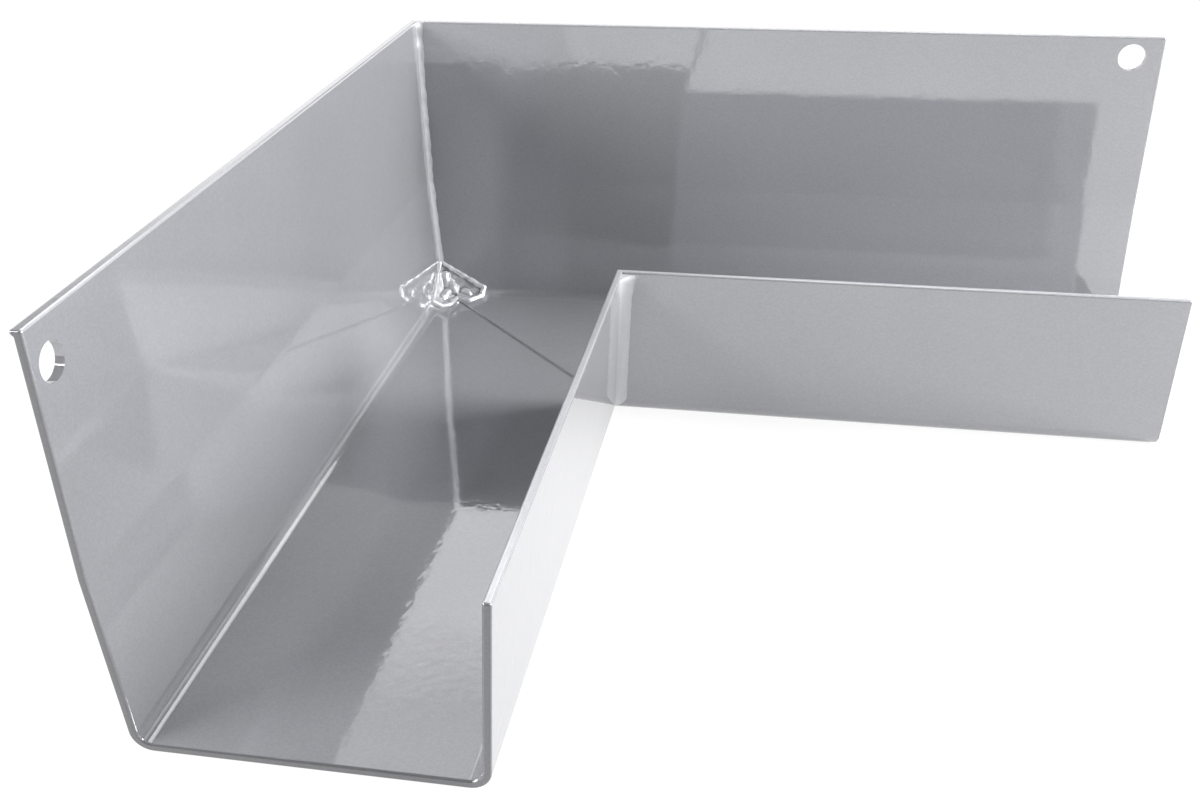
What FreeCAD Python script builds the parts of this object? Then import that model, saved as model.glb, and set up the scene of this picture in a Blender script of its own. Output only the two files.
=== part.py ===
import FreeCAD, Part
import math
import os

Vector = FreeCAD.Vector

# Internal gutter angle: two folded sheet legs, mitred and welded at a right angle. Millimetres.
# The right leg runs along +X from the corner, the left leg along -Y, and the sole lies on Z = 0.

# Sheet and bends
sheet = 2.0
bend_radius = 3.0
crease_radius = 30.0
edge_round = 0.6

# Cross-section, measured on the trough's inside faces from the top of the sole
sole_width = 75.0
side_lean = 3.5
front_height = 46.3
crease_height = 42.5
back_height = 97.2
lip = 1.5

# Each leg, from the point where the inside faces of both backs would meet the sole
leg_length = 236.0

# Fixing holes in the two flanges, measured to their centres
hole_diameter = 8.2
left_hole_from_end = 6.5
left_hole_from_top = 9.3
right_hole_from_end = 9.2
right_hole_from_top = 6.3

# Welds, and the line of the mitre that stays open in the sole
weld_rise = 11.5
weld_right_run = 15.3
weld_left_run = 14.0
weld_right_lobe = 5.0
weld_left_lobe = 4.0
weld_notch = 5.6
weld_rim = 0.8
weld_lump = 2.2
corner_bead = 2.0
front_bead = 3.8
front_flare = 6.0
front_slope = 2.0
seam_width = 0.8

# Worked out from the sizes above
lean = math.radians(side_lean)
flange_offset = crease_height * math.tan(lean)
back_reach = flange_offset + sheet + lip - edge_round * math.sqrt(2)
crease_level = sheet + crease_height
total_height = sheet + back_height
front_level = sheet + front_height * math.cos(lean)
along_leg = Vector(1, 0, 0)
up = Vector(0, 0, 1)
corner = Vector(0, 0, sheet)


def outside_of(points):
    """The outside of a sheet whose inside follows the points."""
    normals = [along_leg.cross((b - a).normalize()) for a, b in zip(points, points[1:])]
    outside = [points[0] + normals[0] * sheet]
    for point, before, after in zip(points[1:], normals, normals[1:]):
        outside.append(point + (before + after) * (sheet / (1 + before.dot(after))))
    outside.append(points[-1] + normals[-1] * sheet)
    return outside


def rounded_path(points, radii):
    """Edges along a row of points, with an arc of the given radius at each inner point."""
    edges = []
    start = points[0]
    for before, bend, after, radius in zip(points, points[1:], points[2:], radii):
        to_before = (before - bend).normalize()
        to_after = (after - bend).normalize()
        half_angle = to_before.getAngle(to_after) / 2
        setback = radius / math.tan(half_angle)
        inward = (to_before + to_after).normalize()
        middle = bend + inward * (radius / math.sin(half_angle) - radius)
        arc_start = bend + to_before * setback
        arc_end = bend + to_after * setback
        edges.append(Part.makeLine(start, arc_start))
        edges.append(Part.Arc(arc_start, middle, arc_end).toShape())
        start = arc_end
    edges.append(Part.makeLine(start, points[-1]))
    return edges


def leg_section(x):
    """The folded section of the right leg, as a face across the leg at x."""
    inside = [
        Vector(x, flange_offset, total_height),
        Vector(x, flange_offset, crease_level),
        Vector(x, 0, sheet),
        Vector(x, -sole_width, sheet),
        Vector(x, -sole_width - front_height * math.sin(lean), front_level),
    ]
    outside = outside_of(inside)
    lip_tip = outside[0] + Vector(0, lip, 0)
    outside[0] = outside[0] - up * lip
    inner_radii = [crease_radius, bend_radius, bend_radius]
    outer_radii = [radius + sheet for radius in inner_radii]
    edges = rounded_path(inside, inner_radii) + rounded_path(outside, outer_radii)
    edges.append(Part.makeLine(inside[0], lip_tip))
    edges.append(Part.makeLine(lip_tip, outside[0]))
    edges.append(Part.makeLine(inside[-1], outside[-1]))
    return Part.Face(Part.Wire(Part.sortEdges(edges)[0]))


def mitre_half():
    """Everything on the right leg's side of the mitre plane."""
    reach = leg_length + sole_width
    plan = Part.makePolygon([
        Vector(-reach, reach, -sheet),
        Vector(reach, -reach, -sheet),
        Vector(reach, reach, -sheet),
        Vector(-reach, reach, -sheet),
    ])
    return Part.Face(plan).extrude(up * (total_height + 2 * sheet))


def seam_groove():
    """The shallow V that stays open along the mitre of the sole."""
    depth = seam_width / 2
    start = corner + Vector(weld_notch, -weld_notch, 0)
    end = corner + Vector(sole_width, -sole_width, 0)
    across = Vector(1, 1, 0).normalize() * seam_width
    vee = Part.makePolygon([
        start + across + up * depth,
        start - across + up * depth,
        start - up * depth,
        start + across + up * depth,
    ])
    return Part.Face(vee).extrude(end - start)


def free_edges(leg):
    """The edges round the leg's free end and along the tops of its two walls."""
    chosen = []
    for edge in leg.Edges:
        box = edge.BoundBox
        at_end = box.XMin > leg_length - edge_round
        at_back_top = box.ZMin > total_height - edge_round
        at_front_top = box.YMax < -sole_width and box.ZMin > front_level - sheet / 2
        lengthwise = box.XLength > back_reach
        if at_end or lengthwise and (at_back_top or at_front_top):
            chosen.append(edge)
    return chosen


def folded_leg(hole_from_end, hole_from_top):
    """The right leg: folded, mitred at the corner, its free edges rounded off and its flange holed."""
    blank = leg_section(-2 * back_reach).extrude(along_leg * (leg_length + 2 * back_reach))
    leg = blank.common(mitre_half())
    leg = leg.makeFillet(edge_round, free_edges(leg))
    hole_centre = Vector(leg_length - hole_from_end, flange_offset - sheet, total_height - hole_from_top)
    hole = Part.makeCylinder(hole_diameter / 2, 4 * sheet, hole_centre, Vector(0, 1, 0))
    return leg.cut(hole).cut(seam_groove())


def mirrored_at_mitre(shape):
    return shape.mirror(Vector(0, 0, 0), Vector(1, 1, 0))


def weld_bar(start, end, radius):
    """A straight run of weld with round ends."""
    run = end - start
    bar = Part.makeCylinder(radius, run.Length, start, run)
    return bar.fuse([Part.makeSphere(radius, start), Part.makeSphere(radius, end)])


def upright_bead(levels):
    """A bead up the angle of two walls, through (place, height, leg on each wall)."""
    sections = []
    for place, height, leg in levels:
        root = Vector(place, -place, height)
        buried = root + Vector(-1, 1, 0) * (sheet / 2)
        left = root + Vector(-sheet / 2, -leg, 0)
        right = root + Vector(leg, sheet / 2, 0)
        hollow = root + Vector(1, -1, 0) * (leg / 3)
        sections.append(Part.Wire([
            Part.makeLine(right, buried),
            Part.makeLine(buried, left),
            Part.Arc(left, hollow, right).toShape(),
        ]))
    return Part.makeLoft(sections, True, True)


def dished_fill(rim, hollow, buried):
    """A fill inside a closed rim, with its face sunk to one point and its back at another."""
    faces = []
    for start, end in zip(rim, rim[1:] + rim[:1]):
        for middle in (hollow, buried):
            faces.append(Part.Face(Part.makePolygon([start, end, middle, start])))
    return Part.Solid(Part.Shell(faces))


def corner_weld(legs):
    """Weld up the inside corner, ending at the sole in a puddle with two lobes and a raised rim."""
    wall_level = bend_radius / 2
    rim = [
        corner + Vector(-weld_rise * math.tan(lean), weld_rise * math.tan(lean), weld_rise),
        corner + Vector(weld_right_run, 0, wall_level),
        corner + Vector(weld_right_run - weld_right_lobe, -weld_right_lobe - wall_level, 0),
        corner + Vector(weld_notch, -weld_notch, 0),
        corner + Vector(weld_left_lobe + wall_level, weld_left_lobe - weld_left_run, 0),
        corner + Vector(0, -weld_left_run, wall_level),
    ]
    diagonal = Vector(1, -1, 1)
    lump_foot = corner + diagonal * weld_lump
    lump_head = corner + Vector(weld_lump / 2, -weld_lump / 2, weld_rise - 2 * weld_lump)
    runs = [weld_bar(start, end, weld_rim) for start, end in zip(rim, rim[1:] + rim[:1])]
    runs.append(weld_bar(lump_foot, lump_head, weld_lump))
    runs.append(upright_bead([
        (0, sheet, corner_bead),
        (-flange_offset, crease_level, corner_bead),
        (-flange_offset, total_height, corner_bead),
    ]))
    fill = dished_fill(rim, lump_foot, corner - diagonal * (sheet / 2))
    pieces = fill.fuse(runs).cut(legs).Solids
    return max(pieces, key=lambda piece: piece.Volume)


def front_weld(legs):
    """Upright bead in the outside angle between the two front walls, flared below its sloping top."""
    foot = sole_width + sheet / math.cos(lean)
    sizes = [
        (sheet, front_bead),
        (front_level - front_flare, front_bead),
        (front_level - front_slope, front_flare),
        (front_level, front_slope),
    ]
    levels = [(foot + (level - sheet) * math.tan(lean), level, leg) for level, leg in sizes]
    return upright_bead(levels).cut(legs)


right_leg = folded_leg(right_hole_from_end, right_hole_from_top)
left_leg = mirrored_at_mitre(folded_leg(left_hole_from_end, left_hole_from_top))
legs = right_leg.fuse(left_leg)

nodes = {
    "left_leg": left_leg,
    "right_leg": right_leg,
    "corner_weld": corner_weld(legs),
    "front_weld": front_weld(legs),
}

# The origin is under the middle of the part's footprint
to_middle = Vector(-1, 1, 0) * ((leg_length - back_reach) / 2)

os.makedirs("parts", exist_ok=True)
for name, shape in nodes.items():
    shape.translated(to_middle).exportStep("parts/" + name + ".step")
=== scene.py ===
import math
from collections import namedtuple

import bmesh
import bpy
from mathutils import Matrix, Vector, noise


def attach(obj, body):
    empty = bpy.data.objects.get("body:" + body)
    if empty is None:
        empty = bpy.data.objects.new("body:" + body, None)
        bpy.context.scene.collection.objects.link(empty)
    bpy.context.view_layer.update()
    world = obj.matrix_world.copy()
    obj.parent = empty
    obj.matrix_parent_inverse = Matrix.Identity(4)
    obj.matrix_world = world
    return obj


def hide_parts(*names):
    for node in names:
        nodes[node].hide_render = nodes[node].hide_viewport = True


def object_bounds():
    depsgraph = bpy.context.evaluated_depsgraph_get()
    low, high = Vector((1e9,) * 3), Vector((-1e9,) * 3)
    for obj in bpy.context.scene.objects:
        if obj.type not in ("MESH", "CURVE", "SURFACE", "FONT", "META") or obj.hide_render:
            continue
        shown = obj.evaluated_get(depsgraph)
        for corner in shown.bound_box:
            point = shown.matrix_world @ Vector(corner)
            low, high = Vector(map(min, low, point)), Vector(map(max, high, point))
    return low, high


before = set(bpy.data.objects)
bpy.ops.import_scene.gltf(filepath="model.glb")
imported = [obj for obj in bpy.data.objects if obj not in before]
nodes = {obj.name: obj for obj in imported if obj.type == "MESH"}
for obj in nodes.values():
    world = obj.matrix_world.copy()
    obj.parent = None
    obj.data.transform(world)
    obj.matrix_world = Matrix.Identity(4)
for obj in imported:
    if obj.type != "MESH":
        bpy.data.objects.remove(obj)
cad_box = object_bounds()

# Camera, solved from the photograph's edges. Its place and clip distances are in metres.
CAMERA_PLACE = Vector((0.019670, -0.305360, 0.197240))
PITCH = math.radians(29.0452)
YAW = math.radians(-10.4190)
ROLL = math.radians(-1.2207)
FOCAL_PIXELS = 1293.16
IMAGE_WIDTH = 1200
SENSOR_WIDTH = 36
CLIP_START = 0.01
CLIP_END = 50

# Soft boxes that face one point: name, place and size in metres, and power in watts
LAMP_TARGET = Vector((-0.05, 0.05, 0.05))
SOFT_BOXES = [
    ("soft_right", (0.552, 0.12, 0.33), (0.25, 0.42), 7.9),
    ("soft_left", (-1.05, -0.60, 0.60), (0.80, 0.60), 15.0),
    ("soft_front", (0.85, -0.85, 0.55), (0.90, 0.50), 3.0),
]

# Bright patches of the room: strength, bearings of the sides, heights of the bottom and top, and softness
# of the edges. Angles are in degrees, and bearings are counted from +Y towards +X.
Patch = namedtuple("Patch", "strength left right low high soft")
SKY_LEVEL = 0.01
SKY_PATCHES = [
    Patch(1.70, -31, -11, 27, 40, 2),
    Patch(0.95, -31, -11, 40, 50, 2),
    Patch(0.58, -11, 20, 28, 44, 2),
    Patch(0.80, 20, 60, 28, 36, 2),
    Patch(0.50, 20, 60, 36, 44, 2),
    Patch(1.90, -6, 15, 38, 62, 3),
    Patch(0.22, 60, 120, 15, 56, 6),
    Patch(0.14, -168, -110, 0, 36, 10),
]

# Patches of the white surround that only mirrors show
MIRRORED_WHITE = [
    Patch(1.0, -110, 120, -90, 20, 3),
    Patch(0.5, 70, 170, 42, 76, 8),
]

# Floor, in metres, and its glow as the camera, mirrors and matt surfaces see it
WHITE = (1, 1, 1, 1)
FLOOR_HALF = 6
FLOOR_GAP = 0.0002
FLOOR_GREY = (0.25, 0.25, 0.25, 1)
FLOOR_SEEN = 0.88
FLOOR_MIRRORED = 0.68
FLOOR_BOUNCE = 0.4

# From here on lengths are in millimetres. These are the sizes of the part that the looks follow, with the
# walls' heights counted from the top of the sole.
MM = 0.001
SHEET = 2.0
OUTER_BEND = 5.0
LEAN = math.radians(3.5)
SOLE_WIDTH = 75.0
FRONT_HEIGHT = 46.3
CREASE_HEIGHT = 42.5
BACK_HEIGHT = 97.2
LEG_LENGTH = 236.0

# Levels over the floor, and the inside corner, where both backs would meet the top of the sole
FRONT_LEVEL = SHEET + FRONT_HEIGHT * math.cos(LEAN)
CREASE_LEVEL = SHEET + CREASE_HEIGHT
BACK_LEVEL = SHEET + BACK_HEIGHT
RIGHT_END = cad_box[1].x / MM
CORNER = Vector((RIGHT_END - LEG_LENGTH, LEG_LENGTH - RIGHT_END, SHEET))

# Coats: colour, height of the orange peel, and roughness of the base and of the clear layer over it
Coat = namedtuple("Coat", "colour peel roughness clear_roughness")
SHEET_COAT = Coat((0.452, 0.455, 0.480), 0.020, 0.06, 0.03)
# The puddle's and beads' coats are the sheet's paint made lighter, as painted highlight
PUDDLE_COAT = Coat((0.660, 0.663, 0.690), 0.025, 0.34, 0.26)
CORNER_BEAD_COAT = Coat((0.540, 0.543, 0.570), 0.050, 0.60, 0.50)
FRONT_BEAD_COAT = Coat((0.720, 0.723, 0.750), 0.040, 0.50, 0.45)
METALLIC = 0.35
CLEAR_WEIGHT = 1.0

# Unevenness of every coat: noise with its cells per metre and its detail, and how far each look strays
Grain = namedtuple("Grain", "scale detail")
NOISE_RANGE = (0.3, 0.7)
CLOUDS = Grain(14, 3)
CLOUD_CHANGE = 0.035
FLAKES_PER_METRE = 2600
FLAKE_CHANGE = 0.05
GLOSS = Grain(35, 4)
GLOSS_CHANGE = 0.15
FINE_PEEL = Grain(420, 1.5)
BROAD_PEEL = Grain(90, 1)
BROAD_PEEL_SHARE = 1.2

# Groove along the mitre and its soft border. Half widths are measured along a leg, and the look sets in and
# stops over these ranges of level.
SEAM_HALF = 0.57
SEAM_TONE = 0.55
HALO_HALF = 1.1
HALO_TONE = 0.88
MITRE_BLUR = 1.5
MITRE_START = (0.8, 1.2)
MITRE_STOP = (2.2, 2.4)
SEAM_ROUGHNESS = 0.6
SEAM_GRIT = Grain(3000, 1)
SEAM_GRIT_HEIGHT = 0.15

# Cut tops of the walls, lightened as painted highlight, and cut ends of the legs, darkened as painted
# shade.
# The front walls lie farther than FRONT_INSIDE from both backs.
CUT_DEPTH = 0.6
TOP_PAINTED_HIGHLIGHT = 1.6
END_PAINTED_SHADE = 0.5
FRONT_INSIDE = 70.0

# The right flange mirrors the room as if it leaned in by this much
FLANGE_BOW = math.radians(2.4)

# Puddle at the foot of the inside corner, from the corner: rim points with radii, lumps from one point and
# radius to another, the bottom of the dish and the buried back
PUDDLE_RIM = [
    ((-0.7, 0.7, 11.5), 0.75),
    ((15.3, 0.0, 2.2), 1.0),
    ((15.0, -2.4, 0.1), 1.0),
    ((11.2, -6.8, 0.0), 1.0),
    ((6.6, -5.2, 0.0), 0.9),
    ((5.6, -10.6, 0.0), 1.0),
    ((3.0, -13.2, 0.0), 1.0),
    ((0.0, -14.0, 2.0), 0.9),
]
PUDDLE_LUMPS = [
    ((2.6, -2.8, 2.4), 2.3, (1.3, -1.3, 7.0), 1.7),
    ((4.8, -3.0, 2.2), 2.1, (1.8, -1.4, 6.0), 1.5),
    ((8.5, -2.0, 1.2), 1.6, (10.5, -3.0, 0.8), 1.2),
    ((2.0, -8.0, 1.0), 1.6, (2.6, -5.0, 1.6), 1.9),
]
PUDDLE_DISH = (2.4, -2.4, 2.4)
PUDDLE_BACK = (-0.8, 0.8, -0.8)

# Make of the puddle's mesh, how far and over what length its skin is uneven, and how much painted highlight
# its ridges get and painted shade its hollows
ROD_SIDES = 16
BALL_ROUNDS = 2
JOIN_DISTANCE = 0.001
PUDDLE_VOXEL = 0.20
SMOOTH_SHARE = 0.5
SMOOTH_ROUNDS = 8
PUDDLE_UNEVEN = 0.28
PUDDLE_WAVE = 2.2
PUDDLE_PAINTED_LIGHT_AND_SHADE = 0.65
POINTINESS_RANGE = (0.465, 0.535)

# Upright beads: heights over the sole with the leg on both walls, and unevenness as a share of the leg.
# Along the right wall, or the left one where the fade is negative, a bead takes on the sheet's look: from
# a share of the fade's distance on, and wholly at that distance.
CORNER_BEAD_LEGS = [
    (8.0, 1.9),
    (60.0, 2.0),
    (84.0, 2.0),
    (89.0, 2.5),
    (92.0, 2.0),
    (95.5, 2.8),
    (BACK_HEIGHT, 2.4),
]
CORNER_BEAD_WOBBLE = 0.25
CORNER_BEAD_FADE = -2.0
FRONT_BEAD_LEGS = [
    (-1.0, 2.4),
    (1.0, 3.2),
    (3.0, 3.8),
    (38.0, 3.8),
    (42.0, 4.6),
    (44.6, 6.0),
    (45.5, 5.6),
]
FRONT_BEAD_WOBBLE = 0.05
FRONT_BEAD_FADE = 4.2
FADE_START = 0.55

# Make of the beads' meshes. The curve of a face is drawn towards a point at BEAD_HOLLOW of the leg.
BEAD_BURIED = 0.2
BEAD_STEP = 0.5
BEAD_POINTS = 10
BEAD_HOLLOW = 1 / 8
BEAD_WAVES_PER_MM = 0.35


def add_camera():
    """The photograph's camera."""
    ahead = Vector((math.sin(YAW), math.cos(YAW), 0))
    forward = ahead * math.cos(PITCH) - Vector((0, 0, 1)) * math.sin(PITCH)
    level_right = Vector((math.cos(YAW), -math.sin(YAW), 0))
    level_up = level_right.cross(forward)
    right = level_right * math.cos(ROLL) + level_up * math.sin(ROLL)
    up = level_up * math.cos(ROLL) - level_right * math.sin(ROLL)
    data = bpy.data.cameras.new("photo_camera")
    data.sensor_fit = "HORIZONTAL"
    data.sensor_width = SENSOR_WIDTH
    data.lens = FOCAL_PIXELS / IMAGE_WIDTH * SENSOR_WIDTH
    data.clip_start = CLIP_START
    data.clip_end = CLIP_END
    camera = bpy.data.objects.new("photo_camera", data)
    turn = Matrix((right, up, -forward)).transposed()
    camera.matrix_world = Matrix.Translation(CAMERA_PLACE) @ turn.to_4x4()
    bpy.context.scene.collection.objects.link(camera)
    bpy.context.scene.camera = camera


class Nodes:
    """Short calls for building a node tree."""

    def __init__(self, tree):
        self.tree = tree
        self.tree.nodes.clear()

    def add(self, kind, **inputs):
        """A new node. An input's name has low lines in place of spaces."""
        node = self.tree.nodes.new("ShaderNode" + kind)
        for name, value in inputs.items():
            self.put(node.inputs[name.replace("_", " ")], value)
        return node

    def put(self, socket, value):
        """Links a socket to another node's, or sets it to a plain value."""
        if isinstance(value, bpy.types.NodeSocket):
            self.tree.links.new(value, socket)
        else:
            socket.default_value = value

    def math(self, operation, first, second=0.0):
        """The result of a Math node."""
        node = self.add("Math")
        node.operation = operation
        self.put(node.inputs[0], first)
        self.put(node.inputs[1], second)
        return node.outputs["Value"]

    def times(self, first, second):
        """The product of two values."""
        return self.math("MULTIPLY", first, second)

    def spread(self, value, low, high, start=0.0, end=1.0):
        """A value that goes from low to high as the given one goes from start to end."""
        node = self.add("MapRange", Value=value, From_Min=start, From_Max=end, To_Min=low, To_Max=high)
        return node.outputs["Result"]

    def noise(self, grain):
        """Noise that is fixed to the object."""
        place = self.add("TexCoord").outputs["Object"]
        node = self.add("TexNoise", Vector=place, Scale=grain.scale, Detail=grain.detail)
        return node.outputs["Fac"]

    def vary(self, grain, change):
        """Noise that strays from 1 by up to the change."""
        return self.spread(self.noise(grain), 1 - change, 1 + change, *NOISE_RANGE)


def from_corner(n):
    """How far a place is along the right leg, X, along the left leg, Y, and over the floor, Z."""
    place = n.add("TexCoord").outputs["Object"]
    start = (-CORNER.x, CORNER.y, 0)
    scale = (1 / MM, -1 / MM, 1 / MM)
    moved = n.add("Mapping", Vector=place, Location=start, Scale=scale)
    return n.add("SeparateXYZ", Vector=moved.outputs["Vector"]).outputs


def along_mitre(n, place, half_width):
    """1 within a width along the mitre of the sole, else 0."""
    across = n.math("ABSOLUTE", n.math("SUBTRACT", place["X"], place["Y"]))
    near = n.spread(across, 1.0, 0.0, half_width, MITRE_BLUR * half_width)
    above = n.spread(place["Z"], 0.0, 1.0, *MITRE_START)
    below = n.spread(place["Z"], 1.0, 0.0, *MITRE_STOP)
    return n.times(near, n.times(above, below))


def cut_top(n, place):
    """1 on the tops of the walls, where the sheet was cut, else 0."""
    on_back = n.spread(place["Z"], 0.0, 1.0, BACK_LEVEL - CUT_DEPTH, BACK_LEVEL)
    on_front = n.spread(place["Z"], 0.0, 1.0, FRONT_LEVEL - CUT_DEPTH, FRONT_LEVEL)
    from_backs = n.math("MINIMUM", place["X"], place["Y"])
    in_front = n.math("GREATER_THAN", from_backs, FRONT_INSIDE)
    return n.math("MAXIMUM", on_back, n.times(on_front, in_front))


def cut_end(n, place):
    """1 on the ends of the legs, else 0."""
    along = n.math("MAXIMUM", place["X"], place["Y"])
    return n.spread(along, 0.0, 1.0, LEG_LENGTH - CUT_DEPTH, LEG_LENGTH)


def flaky_tone(n):
    """Fine flake and a slow change of tone, about 1."""
    place = n.add("TexCoord").outputs["Object"]
    flake = n.add("TexVoronoi", Vector=place, Scale=FLAKES_PER_METRE)
    flake_level = n.add("SeparateColor", Color=flake.outputs["Color"]).outputs["Red"]
    flakes = n.spread(flake_level, 1 - FLAKE_CHANGE, 1 + FLAKE_CHANGE)
    return n.times(n.vary(CLOUDS, CLOUD_CHANGE), flakes)


def uneven_gloss(n, coat):
    """The coat's roughness with a slow change."""
    return n.times(n.vary(GLOSS, GLOSS_CHANGE), coat.roughness)


def orange_peel(n, coat):
    """The coat's fine and broad waves, as a height."""
    broad = n.times(n.noise(BROAD_PEEL), BROAD_PEEL_SHARE)
    return n.times(n.math("ADD", n.noise(FINE_PEEL), broad), coat.peel)


def new_material(name):
    """A material and its empty node tree."""
    material = bpy.data.materials.new(name)
    material.use_nodes = True
    return material, Nodes(material.node_tree)


def finish_coat(n, coat, tone, gloss, height):
    """Metallic grey under a clear layer, both with the same relief."""
    colour = n.add("CombineColor")
    for channel, level in zip(("Red", "Green", "Blue"), coat.colour):
        n.put(colour.inputs[channel], n.times(tone, level))
    relief = n.add("Bump", Height=height, Strength=1.0, Distance=MM).outputs["Normal"]
    shader = n.add(
        "BsdfPrincipled",
        Base_Color=colour.outputs["Color"],
        Metallic=METALLIC,
        Roughness=gloss,
        Normal=relief,
        Coat_Weight=CLEAR_WEIGHT,
        Coat_Roughness=coat.clear_roughness,
        Coat_Normal=relief,
    )
    n.add("OutputMaterial", Surface=shader.outputs["BSDF"])


def sheet_material(name, bow):
    """Coat of a leg: a dull groove along the mitre, cut tops lightened as painted highlight, cut ends
    darkened as painted shade, and a bowed flange.
    """
    material, n = new_material(name)
    place = from_corner(n)
    seam = along_mitre(n, place, SEAM_HALF)
    shades = [
        (seam, SEAM_TONE),
        (along_mitre(n, place, HALO_HALF), HALO_TONE),
        # Painted light: the cut tops are lighter as painted highlight, the cut ends darker as painted shade
        (cut_top(n, place), TOP_PAINTED_HIGHLIGHT),
        (cut_end(n, place), END_PAINTED_SHADE),
    ]
    tone = flaky_tone(n)
    for mask, shade in shades:
        tone = n.times(tone, n.spread(mask, 1.0, shade))
    gloss = n.math("MAXIMUM", uneven_gloss(n, SHEET_COAT), n.times(seam, SEAM_ROUGHNESS))
    grit = n.times(n.noise(SEAM_GRIT), SEAM_GRIT_HEIGHT)
    height = n.math("ADD", orange_peel(n, SHEET_COAT), n.times(seam, grit))
    rise = math.tan(bow) * (BACK_LEVEL - CREASE_LEVEL)
    height = n.math("ADD", height, n.spread(place["Z"], 0.0, rise, CREASE_LEVEL, BACK_LEVEL))
    finish_coat(n, SHEET_COAT, tone, gloss, height)
    return material


def puddle_material(name):
    """Coat of the puddle, with painted highlight on its ridges and painted shade in its hollows."""
    material, n = new_material(name)
    ridge = n.add("NewGeometry").outputs["Pointiness"]
    # Painted light: ridges made lighter as painted highlight and hollows darker as painted shade, by
    # pointiness
    ridge_highlight_hollow_shade = n.spread(ridge, 1 - PUDDLE_PAINTED_LIGHT_AND_SHADE, 1 + PUDDLE_PAINTED_LIGHT_AND_SHADE, *POINTINESS_RANGE)
    tone = n.times(flaky_tone(n), ridge_highlight_hollow_shade)
    finish_coat(n, PUDDLE_COAT, tone, uneven_gloss(n, PUDDLE_COAT), orange_peel(n, PUDDLE_COAT))
    return material


def bead_material(name, coat, fade):
    """Coat of an upright bead, which takes on the sheet's tone and gloss along one wall."""
    material, n = new_material(name)
    place = from_corner(n)
    across = n.math("SUBTRACT", place["X"], place["Y"])
    own = n.spread(across, 1.0, 0.0, FADE_START * fade, fade)
    # The bead's lighter colour is painted highlight; along one wall it fades to the sheet's tone
    tone = n.times(flaky_tone(n), n.spread(own, SHEET_COAT.colour[0] / coat.colour[0], 1.0))
    gloss = n.times(uneven_gloss(n, coat), n.spread(own, SHEET_COAT.roughness / coat.roughness, 1.0))
    finish_coat(n, coat, tone, gloss, orange_peel(n, coat))
    return material


def paint(piece, material):
    """Gives a piece one material all over."""
    piece.data.materials.clear()
    piece.data.materials.append(material)


def add_piece(name, mesh, node, material):
    """A piece of the look that stands for a solid of the frame."""
    mesh.transform(Matrix.Scale(MM, 4) @ Matrix.Translation(CORNER))
    mesh.shade_smooth()
    piece = bpy.data.objects.new(name, mesh)
    bpy.context.scene.collection.objects.link(piece)
    paint(piece, material)
    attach(piece, "root")
    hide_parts(node)


def add_rod(bm, start, start_radius, end, end_radius):
    """A run of metal with round ends that tapers from one radius to the other."""
    start = Vector(start)
    end = Vector(end)
    run = end - start
    turn = run.to_track_quat("Z", "Y").to_matrix().to_4x4()
    middle = Matrix.Translation((start + end) / 2) @ turn
    bmesh.ops.create_cone(
        bm,
        cap_ends=True,
        segments=ROD_SIDES,
        radius1=start_radius,
        radius2=end_radius,
        depth=run.length,
        matrix=middle,
    )
    for place, radius in ((start, start_radius), (end, end_radius)):
        there = Matrix.Translation(place)
        bmesh.ops.create_icosphere(bm, subdivisions=BALL_ROUNDS, radius=radius, matrix=there)


def run_together(name, bm):
    """One smooth skin round all the parts of a mesh."""
    rough = bpy.data.meshes.new(name + "_rough")
    bm.to_mesh(rough)
    bm.free()
    holder = bpy.data.objects.new(name + "_rough", rough)
    bpy.context.scene.collection.objects.link(holder)
    join = holder.modifiers.new("join", "REMESH")
    join.mode = "VOXEL"
    join.voxel_size = PUDDLE_VOXEL
    smooth = holder.modifiers.new("smooth", "SMOOTH")
    smooth.factor = SMOOTH_SHARE
    smooth.iterations = SMOOTH_ROUNDS
    graph = bpy.context.evaluated_depsgraph_get()
    mesh = bpy.data.meshes.new_from_object(holder.evaluated_get(graph))
    mesh.name = name
    bpy.data.objects.remove(holder)
    bpy.data.meshes.remove(rough)
    return mesh


def make_uneven(mesh):
    """Moves a mesh's skin in and out, as molten metal sets."""
    normals = [vertex.normal.copy() for vertex in mesh.vertices]
    for vertex, normal in zip(mesh.vertices, normals):
        vertex.co += normal * noise.noise(vertex.co / PUDDLE_WAVE) * PUDDLE_UNEVEN


def corner_puddle():
    """The fill at the foot of the inside corner: a raised rim with two lobes, a dish and lumps."""
    bm = bmesh.new()
    for (start, start_radius), (end, end_radius) in zip(PUDDLE_RIM, PUDDLE_RIM[1:] + PUDDLE_RIM[:1]):
        add_rod(bm, start, start_radius, end, end_radius)
        for middle in (PUDDLE_DISH, PUDDLE_BACK):
            bm.faces.new([bm.verts.new(point) for point in (start, end, middle)])
    for lump in PUDDLE_LUMPS:
        add_rod(bm, *lump)
    bmesh.ops.remove_doubles(bm, verts=bm.verts, dist=JOIN_DISTANCE)
    bmesh.ops.recalc_face_normals(bm, faces=bm.faces)
    mesh = run_together("corner_puddle", bm)
    make_uneven(mesh)
    return mesh


def between(value, points):
    """The value at a place along (place, value) points, on a straight line between them."""
    for (start, low), (end, high) in zip(points, points[1:]):
        if value <= end:
            return low + (high - low) * (value - start) / (end - start)
    return points[-1][1]


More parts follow.
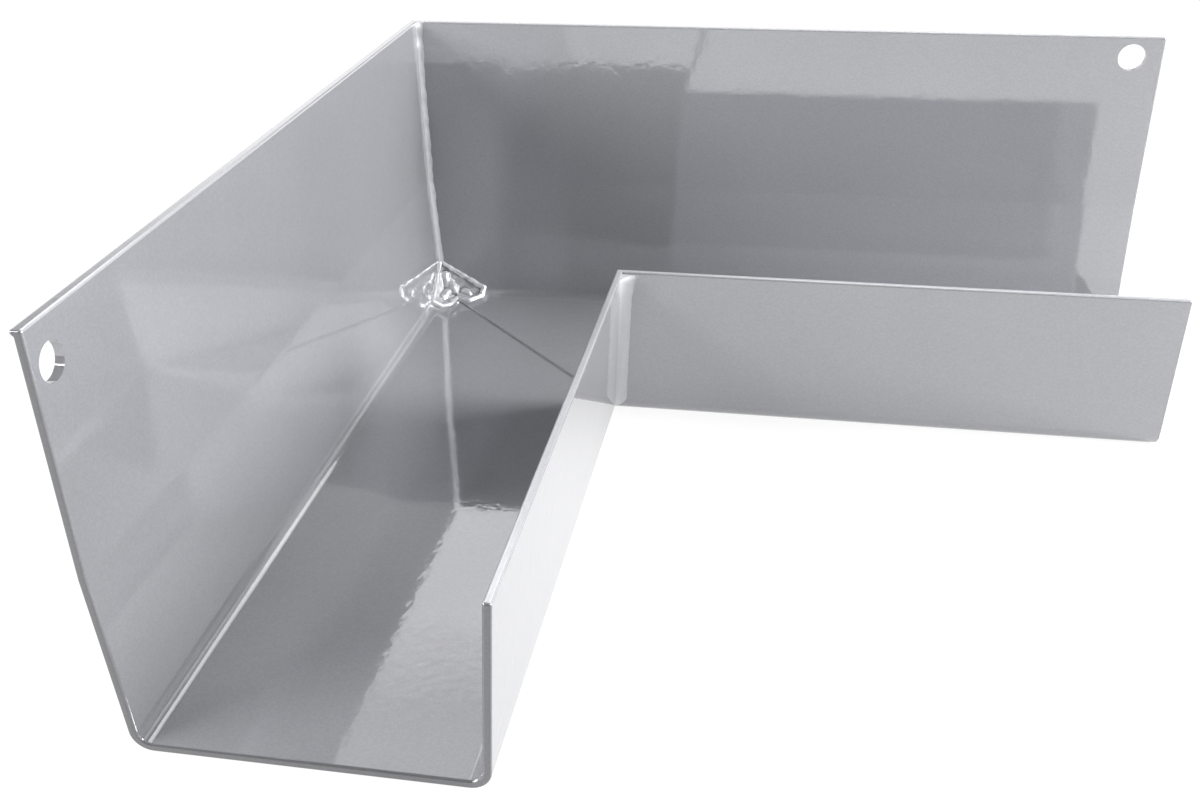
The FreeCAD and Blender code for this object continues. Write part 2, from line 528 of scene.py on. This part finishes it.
def bead_ring(place, height, leg, wobble):
    """Points round a bead at one height: the buried root, then the hollow face from wall to wall."""
    root = Vector((place, -place, height))
    outward = Vector((1, -1, 0))
    left = Vector((-BEAD_BURIED, -leg, 0))
    held = outward * (leg * BEAD_HOLLOW)
    right = Vector((leg, BEAD_BURIED, 0))
    points = [root - outward * BEAD_BURIED]
    for count in range(BEAD_POINTS + 1):
        t = count / BEAD_POINTS
        bulge = 2 * t * (1 - t)
        face = left * (1 - t) ** 2 + held * bulge + right * t ** 2
        wave = noise.noise(Vector((face.x + face.y, 0, height)) * BEAD_WAVES_PER_MM)
        points.append(root + face + outward.normalized() * (wave * wobble * leg * bulge))
    return points


def bead(name, place_at, legs, wobble):
    """A hollow-faced bead up the angle of two walls, with flat ends."""
    bm = bmesh.new()
    bottom = legs[0][0]
    rise = legs[-1][0] - bottom
    steps = math.ceil(rise / BEAD_STEP)
    rings = []
    for step in range(steps + 1):
        height = bottom + rise * step / steps
        points = bead_ring(place_at(height), height, between(height, legs), wobble)
        rings.append([bm.verts.new(point) for point in points])
    for lower, upper in zip(rings, rings[1:]):
        for a, b, c, d in zip(lower, lower[1:] + lower[:1], upper[1:] + upper[:1], upper):
            bm.faces.new((a, b, c, d))
    for face in (bm.faces.new(rings[0]), bm.faces.new(rings[-1])):
        for edge in face.edges:
            edge.smooth = False
    bmesh.ops.recalc_face_normals(bm, faces=bm.faces)
    mesh = bpy.data.meshes.new(name)
    bm.to_mesh(mesh)
    bm.free()
    return mesh


def back_place(height):
    """How far the angle of the two backs lies from the inside corner, at a height over the sole."""
    return -min(height, CREASE_HEIGHT) * math.tan(LEAN)


def front_place(height):
    """How far the outside angle of the two front walls lies from the inside corner, round their bend."""
    bend_middle = OUTER_BEND - SHEET
    below = max(bend_middle - height, 0)
    tuck = OUTER_BEND - math.sqrt(OUTER_BEND ** 2 - below ** 2)
    return SOLE_WIDTH + SHEET + height * math.tan(LEAN) - tuck


def floor_material():
    """Matt grey that keeps the shadow, with a glow that makes it white."""
    material, n = new_material("floor_white")
    matt = n.add("BsdfDiffuse", Color=FLOOR_GREY)
    rays = n.add("LightPath").outputs
    seen = n.times(n.math("MAXIMUM", rays["Is Camera Ray"], rays["Is Transmission Ray"]), FLOOR_SEEN)
    mirrored = n.times(rays["Is Glossy Ray"], FLOOR_MIRRORED)
    bounce = n.times(rays["Is Diffuse Ray"], FLOOR_BOUNCE)
    strength = n.math("MAXIMUM", n.math("MAXIMUM", seen, mirrored), bounce)
    glow = n.add("Emission", Color=WHITE, Strength=strength)
    both = n.add("AddShader")
    n.put(both.inputs[0], matt.outputs["BSDF"])
    n.put(both.inputs[1], glow.outputs["Emission"])
    n.add("OutputMaterial", Surface=both.outputs["Shader"])
    return material


def add_floor():
    """A floor just under the part."""
    mesh = bpy.data.meshes.new("floor")
    half = FLOOR_HALF
    corners = [(-half, -half, 0), (half, -half, 0), (half, half, 0), (-half, half, 0)]
    mesh.from_pydata(corners, [], [(0, 1, 2, 3)])
    floor = bpy.data.objects.new("floor", mesh)
    floor.location.z = -FLOOR_GAP
    bpy.context.scene.collection.objects.link(floor)
    paint(floor, floor_material())


def soft_band(n, value, low, high, soft):
    """1 between low and high degrees, falling to 0 over the soft width at both edges."""
    rise = n.spread(value, 0.0, 1.0, math.radians(low - soft), math.radians(low + soft))
    fall = n.spread(value, 1.0, 0.0, math.radians(high - soft), math.radians(high + soft))
    return n.times(rise, fall)


def sky(n, patches, level):
    """The level of the sky with the patches added."""
    away = n.add("SeparateXYZ", Vector=n.add("TexCoord").outputs["Generated"]).outputs
    bearing = n.math("ARCTAN2", away["X"], away["Y"])
    height = n.math("ARCSINE", away["Z"])
    for patch in patches:
        across = soft_band(n, bearing, patch.left, patch.right, patch.soft)
        upward = soft_band(n, height, patch.low, patch.high, patch.soft)
        level = n.math("ADD", level, n.times(n.times(across, upward), patch.strength))
    return level


def add_surround():
    """The room: patches that light the object, and plain white to the camera."""
    world = bpy.data.worlds.new("surround")
    world.use_nodes = True
    bpy.context.scene.world = world
    n = Nodes(world.node_tree)
    rays = n.add("LightPath").outputs
    white = n.times(sky(n, MIRRORED_WHITE, 0.0), rays["Is Glossy Ray"])
    white = n.math("MAXIMUM", white, rays["Is Camera Ray"])
    white = n.math("MAXIMUM", white, rays["Is Transmission Ray"])
    level = n.math("MAXIMUM", sky(n, SKY_PATCHES, SKY_LEVEL), white)
    surround = n.add("Background", Color=WHITE, Strength=level)
    n.add("OutputWorld", Surface=surround.outputs["Background"])


def add_lamp(name, place, size, power):
    """A soft box that faces the lamp target and stays out of sight."""
    data = bpy.data.lights.new(name, "AREA")
    data.shape = "RECTANGLE"
    data.size, data.size_y = size
    data.energy = power
    lamp = bpy.data.objects.new(name, data)
    lamp.location = place
    lamp.rotation_euler = (LAMP_TARGET - Vector(place)).to_track_quat("-Z", "Y").to_euler()
    lamp.visible_camera = False
    bpy.context.scene.collection.objects.link(lamp)


add_camera()
add_floor()
add_surround()
for soft_box in SOFT_BOXES:
    add_lamp(*soft_box)

weld_coat = puddle_material("weld_coat")
corner_coat = bead_material("corner_coat", CORNER_BEAD_COAT, CORNER_BEAD_FADE)
front_coat = bead_material("front_coat", FRONT_BEAD_COAT, FRONT_BEAD_FADE)
paint(nodes["left_leg"], sheet_material("left_coat", 0.0))
paint(nodes["right_leg"], sheet_material("right_coat", FLANGE_BOW))

# The welds' plain solids wear a coat too, but three finer pieces replace them
paint(nodes["corner_weld"], weld_coat)
paint(nodes["front_weld"], weld_coat)
corner_bead = bead("corner_bead", back_place, CORNER_BEAD_LEGS, CORNER_BEAD_WOBBLE)
front_bead = bead("front_bead", front_place, FRONT_BEAD_LEGS, FRONT_BEAD_WOBBLE)
add_piece("corner_puddle", corner_puddle(), "corner_weld", weld_coat)
add_piece("corner_bead", corner_bead, "corner_weld", corner_coat)
add_piece("front_bead", front_bead, "front_weld", front_coat)

bpy.context.scene.view_settings.view_transform = "Standard"
